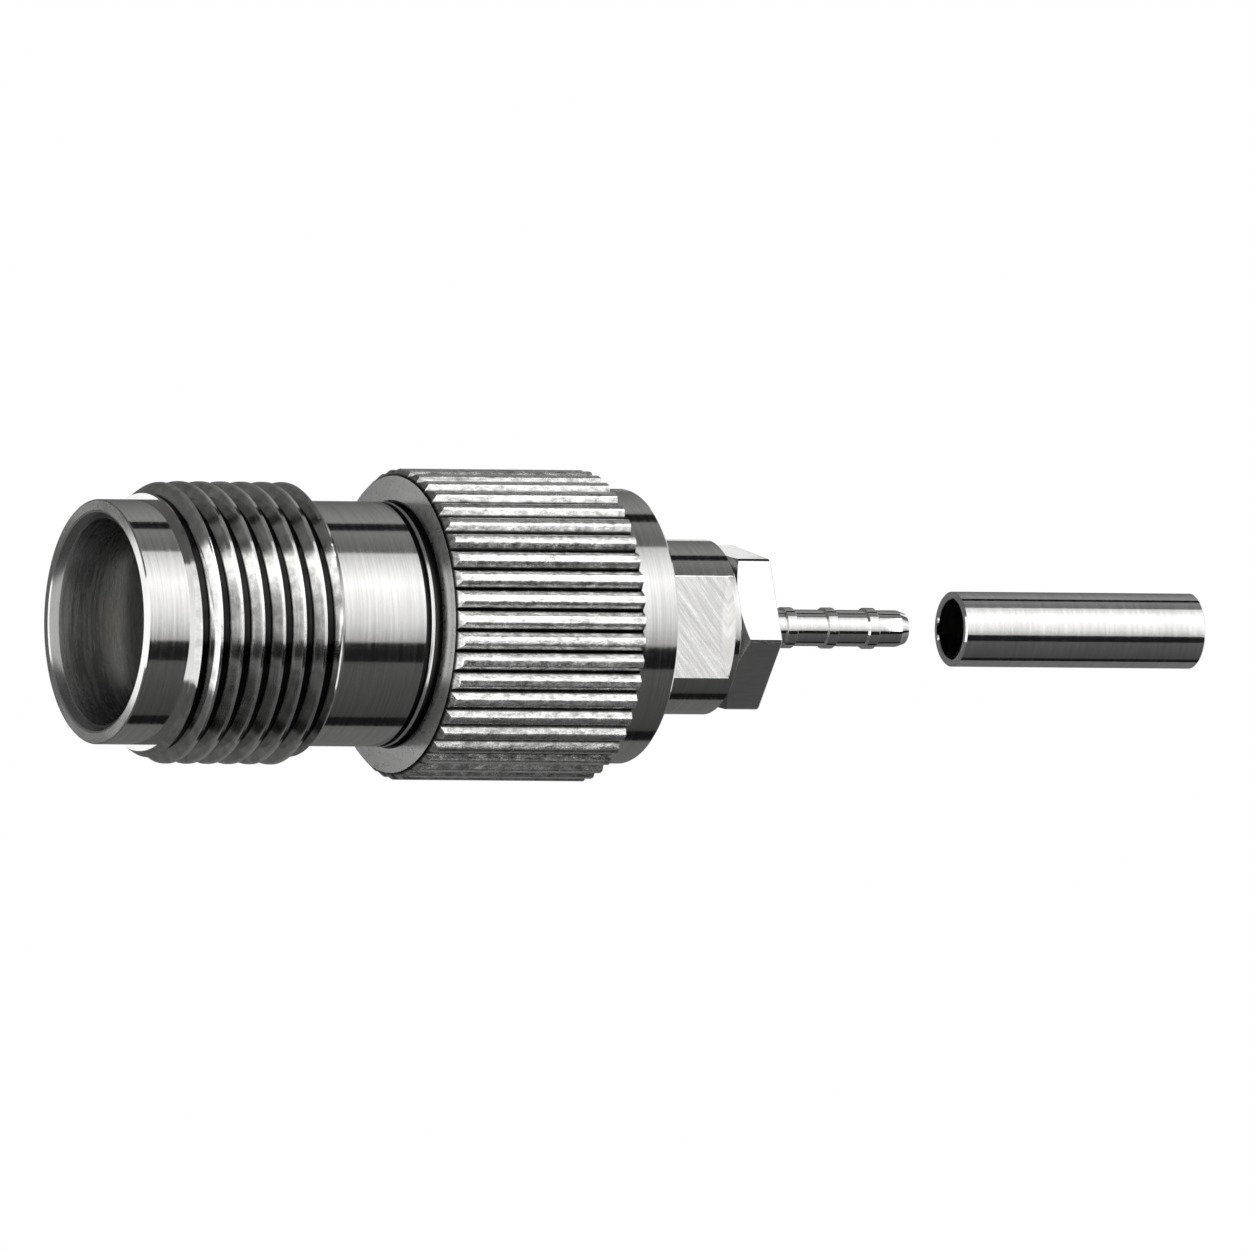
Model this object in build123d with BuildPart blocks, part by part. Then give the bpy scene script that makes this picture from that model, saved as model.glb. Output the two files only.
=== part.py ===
"""TNC crimp jack for a thin coaxial cable, turned and milled from brass, with its loose crimp ferrule.

Millimetres. The axis of every turned piece runs along +X, the mouth faces -X, and the jack lies on its
knurl with Z = 0 under it. Distances called *_x are counted along the axis from the mouth's front face.
"""

import os
from math import radians, sin, sqrt

from build123d import *

os.makedirs("parts", exist_ok=True)

# Mating end: the 7/16-28 interface of the TNC series
barrel_radius = 4.82
barrel_wall = 0.76
mouth_edge_chamfer = 0.29
reference_plane_x = 8.4
thread_major_radius = 5.5563
thread_start_x = 1.62
thread_start_step = 0.28
thread_full_x = 2.45
thread_full_length = 5.6
thread_pitch = 25.4 / 28
thread_depth = 0.556
thread_land = 0.07
thread_end_step = 0.38
thread_end_x = 8.4

# Shell behind the thread
relief_groove_x = 12.12
relief_land_x = 12.35
relief_land_width = 0.15
relief_depth = 0.22
line_bore_radius = 3.5
shell_lip_radius = 3.3
shell_lip_length = 1.0

# Knurled body
body_face_x = 12.8
body_bore_chamfer = 0.25
knurl_crest_radius = 6.12
knurl_depth = 0.28
knurl_teeth = 45
knurl_chamfer_length = 0.4
knurl_length = 8.25
collar_radius = 5.4
collar_length = 1.79
collar_edge = 0.06
neck_radius = 3.44
neck_length = 3.66
flats_across = 5.58
rim_width = 0.3
shell_seat_depth = 4.5
core_bore_radius = 2.2
nut_thread_radius = 2.5
nut_thread_depth = 3.3

# Insulators and contact
fit_gap = 0.03
nose_radius = 2.36
nose_length = 4.95
contact_radius = 1.08
contact_recess = 0.35
pin_bore_radius = 0.69
pin_bore_depth = 4.4
pin_bore_lead = 0.16
finger_slots = 4
finger_slot_width = 0.2
finger_slot_length = 3.4
contact_collar_x = 10.0
contact_collar_radius = 1.5
contact_collar_length = 1.0
contact_tail_radius = 0.9
contact_tail_length = 13.0
solder_pot_radius = 0.3
solder_pot_depth = 2.2
solder_window = 0.45

# Crimp nut
nut_gap = 0.1
nut_across_flats = 6.0
nut_height = 1.7
nut_chamfer_angle = 30.0
nut_relief_radius = 2.2
nut_relief_length = 0.3
nut_turned_by = 20.7
pot_room_radius = 1.05
pot_room_depth = 1.3
core_hole_radius = 0.47
stem_radius = 0.72
stem_length = 6.85
ring_height = 0.09
ring_width = 0.45
ring_first_x = 1.48
ring_pitch = 1.78
ring_count = 3
tip_length = 0.35
tip_radius = 0.6

# Ferrule
ferrule_apart = 2.05
ferrule_outer_radius = 1.48
ferrule_wall = 0.3
ferrule_length = 10.44
ferrule_edge = 0.07

# Radii and places that follow from the sizes above
mouth_bore_radius = barrel_radius - barrel_wall
thread_start_radius = barrel_radius + thread_start_step
thread_end_radius = barrel_radius + thread_end_step
shank_radius = barrel_radius - relief_depth
nose_face_x = reference_plane_x - nose_length
knurl_root_radius = knurl_crest_radius - knurl_depth
# The jack rests on the two edges of the knurl's lowest groove, whose flanks slope at 45 degrees
axis_height = (knurl_root_radius + sqrt(2 * knurl_crest_radius**2 - knurl_root_radius**2)) / 2
knurl_end_x = body_face_x + knurl_length
collar_end_x = knurl_end_x + collar_length
neck_end_x = collar_end_x + neck_length
nut_front_x = neck_end_x + nut_gap
nut_back_x = nut_front_x + nut_height
stem_end_x = nut_back_x + stem_length
ferrule_x = stem_end_x + ferrule_apart
overall_length = ferrule_x + ferrule_length
mouth_x = -overall_length / 2
shell_end_x = body_face_x + shell_seat_depth
thread_room_x = neck_end_x - nut_thread_depth
contact_front_x = nose_face_x + contact_recess
contact_collar_end_x = contact_collar_x + contact_collar_length
contact_end_x = contact_collar_end_x + contact_tail_length

# Half sections are drawn with the first number along the axis and the second outwards from it
section = Plane(origin=(mouth_x, 0, axis_height), x_dir=(1, 0, 0), z_dir=(0, -1, 0))
main_axis = Axis((mouth_x, 0, axis_height), (1, 0, 0))


def cross_section(x):
    """Plane square to the axis at a distance behind the mouth, with its own Y axis pointing up."""
    return Plane(origin=(mouth_x + x, 0, axis_height), x_dir=(0, -1, 0), z_dir=(-1, 0, 0))


def half_section(outline):
    """Closed face of the given outline, on the plane through the main axis."""
    with BuildSketch(section) as face:
        with BuildLine():
            Polyline(*outline, close=True)
        make_face()
    return face.sketch


# Shell: front barrel, coupling thread, plain barrel and the shank pressed into the body. The thread is turned
# as V grooves at its pitch, between a narrow full land at each end, and its helix is left to the render
with BuildPart() as jack_shell:
    thread_full_end_x = thread_full_x + thread_full_length
    groove_count = int((thread_full_length - 2 * thread_land) / thread_pitch)
    groove_pitch = (thread_full_length - 2 * thread_land) / groove_count
    thread_grooves = [(thread_full_x + thread_land, thread_major_radius)]
    for groove in range(groove_count):
        groove_end_x = thread_full_x + thread_land + (groove + 1) * groove_pitch
        thread_grooves += [
            (groove_end_x - groove_pitch / 2, thread_major_radius - thread_depth),
            (groove_end_x, thread_major_radius),
        ]
    relief_back_x = relief_land_x + relief_land_width
    lip_end_x = reference_plane_x + shell_lip_length
    revolve(half_section([
        (0, mouth_bore_radius + mouth_edge_chamfer),
        (0, barrel_radius),
        (thread_start_x, barrel_radius),
        (thread_start_x, thread_start_radius),
        (thread_full_x, thread_major_radius),
        *thread_grooves,
        (thread_full_end_x, thread_major_radius),
        (thread_end_x, thread_end_radius),
        (thread_end_x, barrel_radius),
        (relief_groove_x, barrel_radius),
        (relief_groove_x, shank_radius),
        (relief_land_x, shank_radius),
        (relief_land_x, barrel_radius),
        (relief_back_x, barrel_radius),
        (relief_back_x, shank_radius),
        (shell_end_x, shank_radius),
        (shell_end_x, line_bore_radius),
        (lip_end_x, line_bore_radius),
        (lip_end_x, shell_lip_radius),
        (reference_plane_x, shell_lip_radius),
        (reference_plane_x, mouth_bore_radius),
        (mouth_edge_chamfer, mouth_bore_radius),
    ]), axis=main_axis)
jack_shell.part.label = "jack_shell"

# Body: straight V knurl, smooth collar and the neck with its two spanner flats
with BuildPart() as knurled_body:
    revolve(half_section([
        (body_face_x, shank_radius + body_bore_chamfer),
        (body_face_x, knurl_root_radius),
        (body_face_x + knurl_chamfer_length, knurl_crest_radius),
        (knurl_end_x, knurl_crest_radius),
        (knurl_end_x, collar_radius),
        (collar_end_x - collar_edge, collar_radius),
        (collar_end_x, collar_radius - collar_edge),
        (collar_end_x, neck_radius),
        (neck_end_x, neck_radius),
        (neck_end_x, nut_thread_radius),
        (thread_room_x, nut_thread_radius),
        (thread_room_x, core_bore_radius),
        (shell_end_x, core_bore_radius),
        (shell_end_x, shank_radius),
        (body_face_x + body_bore_chamfer, shank_radius),
    ]), axis=main_axis)
    # One 90 degree groove, its root pointing at the axis, is cut all round; one groove lies straight below
    with BuildSketch(cross_section(body_face_x)):
        with PolarLocations(knurl_crest_radius, knurl_teeth, start_angle=-90):
            Polygon((-knurl_depth, 0), (knurl_depth, 2 * knurl_depth), (knurl_depth, -2 * knurl_depth), align=None)
    extrude(amount=-knurl_length, mode=Mode.SUBTRACT)
    # The flats stop short of the neck's end and leave a full round rim
    flat_depth = neck_radius - flats_across / 2
    flat_length = neck_length - rim_width
    with BuildSketch(cross_section(collar_end_x)):
        with Locations((flats_across / 2 + flat_depth, 0), (-flats_across / 2 - flat_depth, 0)):
            Rectangle(2 * flat_depth, 2 * neck_radius)
    extrude(amount=-flat_length, mode=Mode.SUBTRACT)
knurled_body.part.label = "knurled_body"

# Front insulator: the nose seen in the mouth and the bush held behind the shell's lip
with BuildPart() as front_insulator:
    bush_radius = line_bore_radius - fit_gap
    spigot_room_radius = contact_collar_radius + fit_gap
    revolve(half_section([
        (nose_face_x, contact_radius + fit_gap),
        (nose_face_x, nose_radius),
        (reference_plane_x, nose_radius),
        (reference_plane_x, shell_lip_radius - fit_gap),
        (reference_plane_x + shell_lip_length + fit_gap, shell_lip_radius - fit_gap),
        (reference_plane_x + shell_lip_length + fit_gap, bush_radius),
        (shell_end_x, bush_radius),
        (shell_end_x, spigot_room_radius),
        (contact_collar_x, spigot_room_radius),
        (contact_collar_x, contact_radius + fit_gap),
    ]), axis=main_axis)
front_insulator.part.label = "front_insulator"

# Rear insulator: a spigot that traps the contact's collar, and a bush in the body's bore up to the nut
with BuildPart() as rear_insulator:
    revolve(half_section([
        (contact_collar_end_x, contact_tail_radius + fit_gap),
        (contact_collar_end_x, contact_collar_radius),
        (shell_end_x, contact_collar_radius),
        (shell_end_x, core_bore_radius - fit_gap),
        (thread_room_x, core_bore_radius - fit_gap),
        (thread_room_x, contact_tail_radius + fit_gap),
    ]), axis=main_axis)
rear_insulator.part.label = "rear_insulator"

# Centre contact: slotted socket in front, collar, and a tail with the solder pot for the cable's core
with BuildPart() as center_contact:
    pin_bore_end_x = contact_front_x + pin_bore_depth
    revolve(half_section([
        (contact_front_x, pin_bore_radius + pin_bore_lead),
        (contact_front_x, contact_radius - pin_bore_lead / 2),
        (contact_front_x + pin_bore_lead, contact_radius),
        (contact_collar_x, contact_radius),
        (contact_collar_x, contact_collar_radius),
        (contact_collar_end_x, contact_collar_radius),
        (contact_collar_end_x, contact_tail_radius),
        (contact_end_x, contact_tail_radius),
        (contact_end_x, solder_pot_radius),
        (contact_end_x - solder_pot_depth, solder_pot_radius),
        (contact_end_x - solder_pot_depth, 0),
        (pin_bore_end_x, 0),
        (pin_bore_end_x, pin_bore_radius),
        (contact_front_x + pin_bore_lead, pin_bore_radius),
    ]), axis=main_axis)
    with BuildSketch(cross_section(contact_front_x)):
        with PolarLocations(contact_radius / 2, finger_slots, start_angle=45):
            Rectangle(2 * contact_radius, finger_slot_width)
    extrude(amount=-finger_slot_length, mode=Mode.SUBTRACT)
    # A small hole on top shows when the solder pot is full
    window_x = contact_end_x - solder_pot_depth + solder_window
    with BuildSketch(Plane(origin=(mouth_x + window_x, 0, axis_height), x_dir=(1, 0, 0), z_dir=(0, 0, 1))):
        Circle(solder_window / 2)
    extrude(amount=2 * contact_tail_radius, mode=Mode.SUBTRACT)
center_contact.part.label = "center_contact"

# Crimp nut: threaded tail inside the neck, hexagon, and the ringed stem that goes under the cable's braid
with BuildPart() as crimp_nut:
    with BuildSketch(cross_section(nut_front_x)):
        RegularPolygon(nut_across_flats / 2, 6, major_radius=False, rotation=30 + nut_turned_by)
    extrude(amount=-nut_height)
    # The front corners are turned off at an angle to the face, as on any hexagon nut
    corner_radius = nut_across_flats / 2 / sin(radians(60))
    corner_over = corner_radius - nut_across_flats / 2 * 0.97
    chamfer_length = corner_over * sin(radians(nut_chamfer_angle)) / sin(radians(90 - nut_chamfer_angle))
    revolve(half_section([
        (nut_front_x, corner_radius - corner_over),
        (nut_front_x, 2 * corner_radius),
        (nut_front_x + chamfer_length, 2 * corner_radius),
        (nut_front_x + chamfer_length, corner_radius),
    ]), axis=main_axis, mode=Mode.SUBTRACT)
    # Threaded tail at its major diameter, with a relief under the head
    revolve(half_section([
        (thread_room_x, 0),
        (thread_room_x, nut_thread_radius - fit_gap),
        (nut_front_x - nut_relief_length, nut_thread_radius - fit_gap),
        (nut_front_x - nut_relief_length, nut_relief_radius),
        (nut_front_x, nut_relief_radius),
        (nut_front_x, 0),
    ]), axis=main_axis)
    stem_outline = [(nut_back_x, 0), (nut_back_x, stem_radius)]
    for ring in range(ring_count):
        ring_x = nut_back_x + ring_first_x + ring * ring_pitch
        stem_outline += [
            (ring_x, stem_radius),
            (ring_x, stem_radius + ring_height),
            (ring_x + ring_width, stem_radius + ring_height),
            (ring_x + ring_width, stem_radius),
        ]
    stem_outline += [(stem_end_x - tip_length, stem_radius), (stem_end_x, tip_radius), (stem_end_x, 0)]
    revolve(half_section(stem_outline), axis=main_axis)
    # Hole for the cable's core right through, and room for the end of the contact's tail
    with BuildSketch(cross_section(thread_room_x)):
        Circle(core_hole_radius)
    extrude(amount=-(stem_end_x - thread_room_x), mode=Mode.SUBTRACT)
    with BuildSketch(cross_section(thread_room_x)):
        Circle(pot_room_radius)
    extrude(amount=-pot_room_depth, mode=Mode.SUBTRACT)
crimp_nut.part.label = "crimp_nut"

# Ferrule: plain tube, apart behind the stem, slid over the braid and the stem before it is crimped
with BuildPart() as ferrule:
    revolve(half_section([
        (ferrule_x, ferrule_outer_radius - ferrule_wall),
        (ferrule_x, ferrule_outer_radius - ferrule_edge),
        (ferrule_x + ferrule_edge, ferrule_outer_radius),
        (ferrule_x + ferrule_length - ferrule_edge, ferrule_outer_radius),
        (ferrule_x + ferrule_length, ferrule_outer_radius - ferrule_edge),
        (ferrule_x + ferrule_length, ferrule_outer_radius - ferrule_wall),
    ]), axis=main_axis)
ferrule.part.label = "ferrule"

for piece in (jack_shell, knurled_body, front_insulator, rear_insulator, center_contact, crimp_nut, ferrule):
    export_step(piece.part, f"parts/{piece.part.label}.step")
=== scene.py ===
# %% [markdown]
# # A TNC crimp jack in Blender
#
# The object is a small coaxial jack, turned and milled from brass and plated with bright nickel,
# with a loose crimp ferrule behind it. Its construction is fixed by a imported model, which is loaded as
# a frame, and this script gives it its looks: smooth turned surfaces, a real thread, the knurl and the
# finishes. Everything lies on one axis, so nearly every piece is a stack of rings round that axis.

# %% The frame
import math

import bmesh
import bpy
import numpy as np
from mathutils import Matrix, Vector


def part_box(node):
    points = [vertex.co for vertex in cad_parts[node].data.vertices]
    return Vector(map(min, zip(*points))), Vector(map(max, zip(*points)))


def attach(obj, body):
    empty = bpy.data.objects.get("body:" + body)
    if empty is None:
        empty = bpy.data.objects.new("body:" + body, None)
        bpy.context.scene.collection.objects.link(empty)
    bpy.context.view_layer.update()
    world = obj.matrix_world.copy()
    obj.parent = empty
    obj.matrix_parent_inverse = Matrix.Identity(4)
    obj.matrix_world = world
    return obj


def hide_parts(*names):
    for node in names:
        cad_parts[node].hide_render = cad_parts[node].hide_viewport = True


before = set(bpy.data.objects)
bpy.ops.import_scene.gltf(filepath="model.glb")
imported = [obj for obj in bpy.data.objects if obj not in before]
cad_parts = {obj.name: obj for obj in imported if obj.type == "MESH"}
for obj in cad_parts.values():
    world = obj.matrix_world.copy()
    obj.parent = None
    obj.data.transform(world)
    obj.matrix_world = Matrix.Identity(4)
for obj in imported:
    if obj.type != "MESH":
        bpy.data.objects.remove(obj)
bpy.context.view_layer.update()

print("nodes:", sorted(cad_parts))

# %% [markdown]
# ## Sizes
#
# Lengths are written in millimetres, counted along the axis from the mouth, as a turner's drawing has
# them, and turned into metres in one place. What the frame knows is read from it. The rest repeats
# the drawing.

# %% Sizes from the frame
MM = 0.001
shell_low, shell_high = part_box("jack_shell")
body_low, body_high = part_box("knurled_body")
contact_low, contact_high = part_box("center_contact")
nose_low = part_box("front_insulator")[0]
nut_low, nut_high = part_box("crimp_nut")
ferrule_low, ferrule_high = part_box("ferrule")
mouth_at = shell_low.x
axis_at = (ferrule_low.z + ferrule_high.z) / 2


def from_mouth(x):
    """Distance behind the mouth, in millimetres, of a place along X in metres."""
    return (x - mouth_at) / MM


def radius_of(low, high):
    """Largest radius, in millimetres, of a node with this box."""
    return (high.y - low.y) / 2 / MM


print("mouth at x", round(mouth_at, 6), "axis at z", round(axis_at, 6))

# %% Sizes of the mating end
barrel_radius = 4.82
bore_radius = 4.06
rim_fall = 0.03
mouth_chamfer = 0.29
reference_x = 8.4
thread_radius = radius_of(shell_low, shell_high)
thread_root_radius = 5.0
thread_pitch = 25.4 / 28
thread_start_x = 1.95
thread_start_radius = 5.07
thread_full_from = 2.75
thread_full_to = 8.05
thread_end_x = 8.4
thread_end_radius = 5.2
relief_groove_x = 12.12
relief_land_x = 12.35
relief_land_end_x = 12.5
shank_radius = 4.6
line_bore_radius = 3.5
lip_radius = 3.3
lip_end_x = 9.4
hidden_shank = 0.4
shell_end_x = from_mouth(shell_high.x)
print("shell ends at", round(shell_end_x, 3), "thread radius", round(thread_radius, 4))

# %% Sizes of the body
body_face_x = from_mouth(body_low.x)
crest_radius = 6.12
root_radius = 5.84
knurl_teeth = 45
knurl_run_in = 0.4
knurl_end_x = 21.05
face_fall = 0.087
collar_radius = 5.4
collar_end_x = 22.84
neck_radius = 3.44
neck_end_x = from_mouth(body_high.x)
half_flats = 2.79
rim_x = 26.2
core_bore_radius = 2.2
nut_bore_radius = 2.5
nut_bore_x = 23.2
body_bore_chamfer = 0.25

# %% Sizes of the crimp nut, the ferrule and the inner pieces
nut_tail_x = from_mouth(nut_low.x)
tail_radius = 2.47
tail_root_radius = 2.19
tail_pitch = 0.5
tail_plain = 0.25
tail_lead = 0.2
tail_end_step = 0.06
tail_thread_end_x = 26.3
tail_relief_radius = 2.2
hexagon_x = 26.6
hexagon_end_x = 28.3
hexagon_apothem = 3.0
hexagon_turn = 20.7
hexagon_face_radius = 2.91
run_off_length = 0.5
pot_room_radius = 1.05
pot_room_x = 24.5
core_hole_radius = 0.47
stem_radius = 0.72
stem_end_x = from_mouth(nut_high.x)
ring_first_x = 29.78
ring_pitch = 1.78
ring_width = 0.45
ring_height = 0.09
ring_count = 3
stem_tip_length = 0.35
stem_tip_radius = 0.6
ferrule_x = from_mouth(ferrule_low.x)
ferrule_end_x = from_mouth(ferrule_high.x)
ferrule_radius = radius_of(ferrule_low, ferrule_high)
ferrule_bore_radius = 1.18
nose_x = from_mouth(nose_low.x)
nose_radius = 2.36
contact_x = from_mouth(contact_low.x)
contact_end_x = from_mouth(contact_high.x)
contact_radius = 1.08
fit_gap = 0.03
edge = 0.05
hair = 0.01
print("hexagon", hexagon_x, "ferrule", round(ferrule_x, 2), round(ferrule_end_x, 2))

# %% [markdown]
# ## Nodes by formula
#
# Materials and geometry trees both need sums and products of sockets. One short function that adds a
# maths node and links whatever it is given keeps each formula on a line of its own.


# %% Node helpers
def wire(tree, value, socket):
    """Links a socket to an input, or writes a plain value into it."""
    if isinstance(value, bpy.types.NodeSocket):
        tree.links.new(value, socket)
    else:
        socket.default_value = value


def sum_of(tree, operation, *values, clamp=False):
    """Result socket of one maths node."""
    node = tree.nodes.new("ShaderNodeMath")
    node.operation = operation
    node.use_clamp = clamp
    for socket, value in zip(node.inputs, values):
        wire(tree, value, socket)
    return node.outputs[0]


def add_node(tree, kind, inputs=None, **settings):
    """A node with its settings and the named inputs given."""
    node = tree.nodes.new(kind)
    for key, value in settings.items():
        setattr(node, key, value)
    for name, value in (inputs or {}).items():
        wire(tree, value, node.inputs[name])
    return node


# %% [markdown]
# ## The finishes
#
# Bright nickel over turned brass is a nearly neutral mirror. What makes it read as metal that was cut
# on a lathe is very small: the tool leaves rings round the axis, each reflecting a little more or less
# than the next, and handling leaves faint cloudiness. Rings are a noise squeezed along X, so
# they run round the axis on every piece. On the milled flats the same noise is turned, as the
# cutter's path was. The same recipe, with other numbers, serves each piece.
#
# The knurl and the thread get a painted shade, darkest at the bottoms of their grooves, and a painted
# highlight on their crests, from a level that depends on nothing but the distance from the axis.

# %% Nickel
noise_low = 0.3
noise_high = 0.7
cloud_grain = (0.35, 0.35, 0.35)
cloud_depth = 0.06


def stretched_noise(tree, scale, detail=4.0, turn=(0, 0, 0)):
    """Noise on Object coordinates, with a scale in features a millimetre for each direction."""
    where = add_node(tree, "ShaderNodeTexCoord")
    turned = add_node(tree, "ShaderNodeMapping", {"Vector": where.outputs["Object"]})
    turned.inputs["Rotation"].default_value = turn
    mapping = add_node(tree, "ShaderNodeMapping", {"Vector": turned.outputs["Vector"]})
    mapping.inputs["Scale"].default_value = [s / MM for s in scale]
    noise = add_node(tree, "ShaderNodeTexNoise", {"Vector": mapping.outputs["Vector"], "Scale": 1.0,
                                                  "Detail": detail, "Roughness": 0.6})
    return noise.outputs["Fac"]


def spread(tree, value, low, high):
    """A noise, which stays near the middle, spread over a range."""
    node = add_node(tree, "ShaderNodeMapRange", {"Value": value, "From Min": noise_low,
                                                 "From Max": noise_high, "To Min": low, "To Max": high})
    return node.outputs["Result"]


def new_material(name):
    """A new material, its node tree and its shader."""
    material = bpy.data.materials.new(name)
    material.use_nodes = True
    return material, material.node_tree, material.node_tree.nodes["Principled BSDF"]


def cut_surface(tree, shader, lines, rough, bump):
    """Roughness and relief, in millimetres, that follow the lines of the tool."""
    tree.links.new(spread(tree, lines, *rough), shader.inputs["Roughness"])
    height = add_node(tree, "ShaderNodeBump", {"Height": lines, "Strength": 1.0, "Distance": bump * MM})
    tree.links.new(height.outputs["Normal"], shader.inputs["Normal"])


def metal(name, tone, grain, grain_depth, rough, bump, turn=(0, 0, 0), shade=None):
    """Plated metal with a directed grain, and with a shade if one is given."""
    material, tree, shader = new_material(name)
    lines = stretched_noise(tree, grain, turn=turn)
    clouds = stretched_noise(tree, cloud_grain, detail=3.0)
    grain_share = spread(tree, lines, -grain_depth, grain_depth)
    cloud_share = spread(tree, clouds, -cloud_depth, cloud_depth)
    level = sum_of(tree, "ADD", sum_of(tree, "ADD", grain_share, cloud_share), 1.0)
    if shade:
        level = sum_of(tree, "MULTIPLY", level, shade(tree))
    colour = add_node(tree, "ShaderNodeMix", {"Factor": 1.0}, data_type="RGBA", blend_type="MULTIPLY")
    colour_a, colour_b = [s for s in colour.inputs if s.type == "RGBA"]
    colour_a.default_value = (*tone, 1.0)
    grey = add_node(tree, "ShaderNodeCombineColor", {"Red": level, "Green": level, "Blue": level})
    tree.links.new(grey.outputs["Color"], colour_b)
    result = [s for s in colour.outputs if s.type == "RGBA"][0]
    tree.links.new(result, shader.inputs["Base Color"])
    cut_surface(tree, shader, lines, rough, bump)
    shader.inputs["Metallic"].default_value = 1.0
    return material


def off_axis(tree):
    """Distance from the axis of the jack, in millimetres, for the point that is shaded."""
    where = add_node(tree, "ShaderNodeTexCoord")
    parts = add_node(tree, "ShaderNodeSeparateXYZ", {"Vector": where.outputs["Object"]})
    up = sum_of(tree, "SUBTRACT", parts.outputs["Z"], axis_at)
    across_square = sum_of(tree, "MULTIPLY", parts.outputs["Y"], parts.outputs["Y"])
    square = sum_of(tree, "MULTIPLY_ADD", up, up, across_square)
    return sum_of(tree, "DIVIDE", sum_of(tree, "SQRT", square), MM)


def radial_shade(stops, grain, depth):
    """Painted shade and highlight by the distance from the axis, from (radius, level) stops, mottled by
    noise.
    """
    def build(tree):
        low, high = stops[0][0], stops[-1][0]
        top = max(level for radius, level in stops)
        share = sum_of(tree, "DIVIDE", sum_of(tree, "SUBTRACT", off_axis(tree), low), high - low)
        ramp = add_node(tree, "ShaderNodeValToRGB", {"Fac": share})
        while len(ramp.color_ramp.elements) < len(stops):
            ramp.color_ramp.elements.new(0.5)
        for element, (radius, level) in zip(ramp.color_ramp.elements, stops):
            element.position = (radius - low) / (high - low)
            element.color = (level / top, level / top, level / top, 1)
        result = sum_of(tree, "MULTIPLY", ramp.outputs["Color"], top)
        mottling = spread(tree, stretched_noise(tree, grain, detail=3.0), 1 - depth, 1 + depth)
        return sum_of(tree, "MINIMUM", sum_of(tree, "MULTIPLY", result, mottling), top)
    return build


nickel_tone = (0.74, 0.735, 0.72)
bright_tone = (0.88, 0.875, 0.865)
# Each stop: radius in millimetres, share of the tone
# Levels near 0 at the roots are painted shade, levels above 1 at the crests a painted highlight
knurl_stops = [(5.84, 0.01), (5.9, 0.05), (5.955, 0.8), (6.06, 0.9), (6.09, 1.4)]
thread_stops = [(5.0, 0.03), (5.03, 0.06), (5.07, 0.8), (5.46, 0.9), (5.53, 1.3)]
# Each metal: name, tone, grain, its depth, lowest and highest roughness, relief in millimetres
turned_nickel = metal("turned_nickel", nickel_tone, (9.0, 0.25, 0.25), 0.10, (0.07, 0.13), 0.0016)
milled_nickel = metal("milled_nickel", (0.8, 0.795, 0.785), (7.0, 0.3, 0.5), 0.16, (0.10, 0.20), 0.0022,
                      turn=(0, math.radians(38), 0))
# The knurl and the thread carry that painted shade and highlight, besides their real grain
knurl_nickel = metal("knurl_nickel", nickel_tone, (3.2, 5.0, 5.0), 0.08, (0.17, 0.30), 0.012,
                     shade=radial_shade(knurl_stops, (2.2, 4.5, 4.5), 0.5))
thread_nickel = metal("thread_nickel", nickel_tone, (9.0, 0.3, 0.3), 0.10, (0.08, 0.16), 0.0016,
                      shade=radial_shade(thread_stops, (1.0, 1.6, 1.6), 0.25))
hexagon_nickel = metal("hexagon_nickel", bright_tone, (1.2, 6.0, 6.0), 0.05, (0.07, 0.13), 0.0012)
# Rougher metal whose darker tone is painted shade, for the mouth's bore and the hexagon's front cone
rough_painted_shade_nickel = metal("rough_painted_shade_nickel", (0.33, 0.33, 0.325), (7.0, 0.4, 0.4), 0.10, (0.22, 0.32), 0.0016)
face_nickel = metal("face_nickel", bright_tone, (3.0, 3.0, 3.0), 0.05, (0.26, 0.32), 0.0012)
# Near-black metal: painted shade for the bottoms of narrow grooves
painted_groove_shade = metal("painted_groove_shade", (0.05, 0.05, 0.05), (9.0, 0.4, 0.4), 0.05, (0.3, 0.4), 0.001)
ferrule_nickel = metal("ferrule_nickel", bright_tone, (6.0, 0.6, 0.6), 0.07, (0.06, 0.12), 0.0012)
contact_gold = metal("contact_gold", (0.88, 0.62, 0.26), (8.0, 0.5, 0.5), 0.08, (0.10, 0.18), 0.0014)
print("metals:", [m.name for m in bpy.data.materials])

# %% [markdown]
# The two insulators are turned from a waxy white plastic. It is slightly see-through, which light
# below the surface gives, and the lathe leaves the same rings in it as in the metal, only softer.

# %% White plastic
wax_depth = 0.4 * MM


def white_plastic():
    """Turned fluoroplastic: white, waxy and soft in its highlights."""
    material, tree, shader = new_material("turned_white")
    rings = stretched_noise(tree, (6.0, 0.3, 0.3))
    shade = add_node(tree, "ShaderNodeValToRGB", {"Fac": rings})
    shade.color_ramp.elements[0].position = noise_low
    shade.color_ramp.elements[0].color = (0.74, 0.74, 0.72, 1)
    shade.color_ramp.elements[1].position = noise_high
    shade.color_ramp.elements[1].color = (0.82, 0.82, 0.80, 1)
    tree.links.new(shade.outputs["Color"], shader.inputs["Base Color"])
    cut_surface(tree, shader, rings, (0.38, 0.5), 0.004)
    shader.inputs["Subsurface Weight"].default_value = 0.15
    shader.inputs["Subsurface Radius"].default_value = (wax_depth, wax_depth, wax_depth)
    shader.inputs["Subsurface Scale"].default_value = 1.0
    return material


turned_white = white_plastic()

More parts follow.
